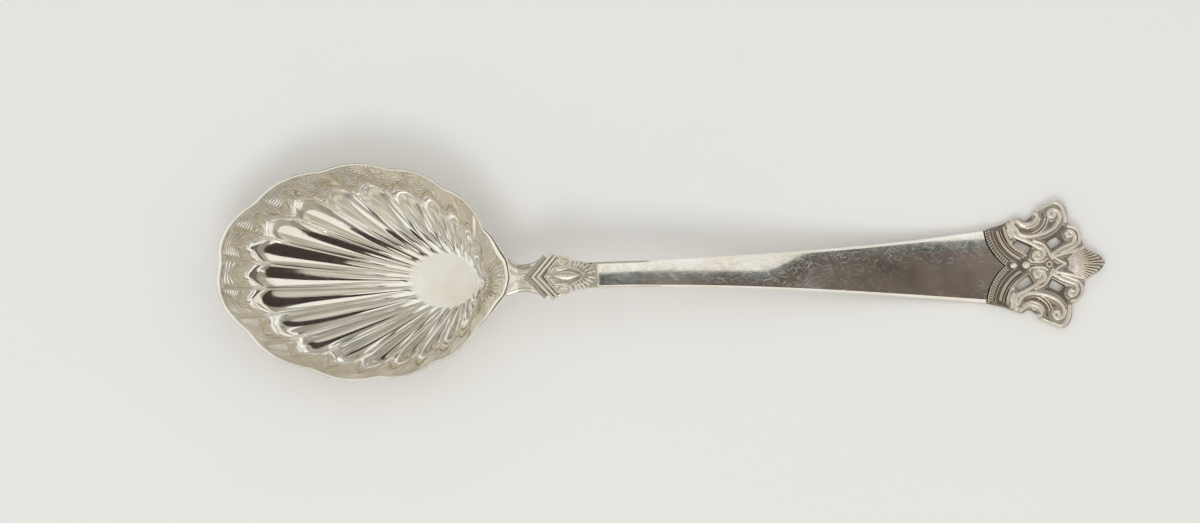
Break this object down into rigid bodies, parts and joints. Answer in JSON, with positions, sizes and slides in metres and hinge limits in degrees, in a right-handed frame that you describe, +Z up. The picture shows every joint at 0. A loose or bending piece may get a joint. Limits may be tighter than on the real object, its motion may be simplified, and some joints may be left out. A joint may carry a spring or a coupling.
{
  "type": "jam spoon",
  "caption": "Silver jam spoon with a fluted shell bowl, scalloped rim, chevron collar and leaf on the stem, an arched plain blade and a pierced scrollwork finial.",
  "frame": {"origin": "on the table under the middle of the spoon's bounds, as it lies on the bowl's foot and the back of the finial", "axes": "+X along the handle from the bowl to the finial, +Y to the side, +Z up out of the open bowl"},
  "size_m": [0.1492, 0.0366, 0.012],
  "materials": {
    "polished_silver": "hand-polished silver with fine wear scratches",
    "worked_silver": "cast and chased silver, dark in the recesses"
  },
  "bodies": {
    "root": {"bowl": "polished_silver", "stem": "polished_silver", "handle_blade": "polished_silver", "collar_beaded_wire": "worked_silver", "collar_front_rail": "worked_silver", "collar_rear_rail": "worked_silver", "shoulder_leaf": "worked_silver", "finial_openwork": "worked_silver", "rope_wire_upper": "worked_silver", "rope_wire_lower": "worked_silver", "reed_first_upper": "worked_silver", "reed_first_lower": "worked_silver", "reed_second_upper": "worked_silver", "reed_second_lower": "worked_silver", "bead_small": "worked_silver", "bead_large": "worked_silver"}
  },
  "joints": []
}
